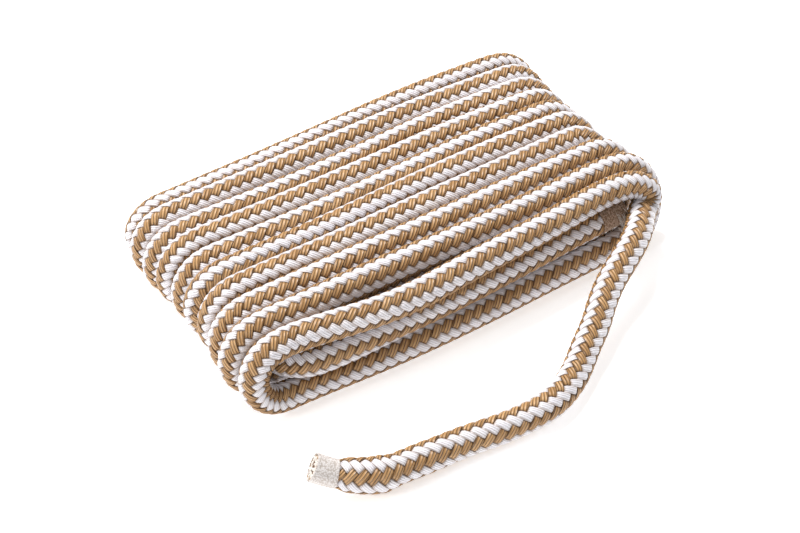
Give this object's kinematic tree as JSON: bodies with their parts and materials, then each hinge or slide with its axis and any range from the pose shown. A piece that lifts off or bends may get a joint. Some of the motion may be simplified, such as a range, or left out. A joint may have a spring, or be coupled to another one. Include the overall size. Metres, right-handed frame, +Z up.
{
  "type": "coiled dock line",
  "caption": "Double-braid dock line in gold and white, wound side by side into a flat hank, with its taped bitter end lying loose in front and its other end tucked into the front turn.",
  "frame": {"origin": "on the floor, under the middle one of the nine tight turns of the hank, half way along it", "axes": "+X along the hank's runs, away from the taped bitter end; -Y towards the loose front turn and the tail; +Z up"},
  "size_m": [0.223, 0.1887, 0.0392],
  "materials": {
    "gold_nylon": "satin filament nylon, gold",
    "white_nylon": "satin filament nylon, white",
    "core_nylon": "plain white core braid",
    "end_tape": "matt woven cream tape"
  },
  "bodies": {
    "root": {"hank": "gold_nylon", "tail_cover": "white_nylon", "tail_core": "core_nylon", "tail_end_tape": "end_tape", "inner_end_cover": "white_nylon", "inner_end_core": "core_nylon", "inner_end_tape": "end_tape"}
  },
  "joints": []
}
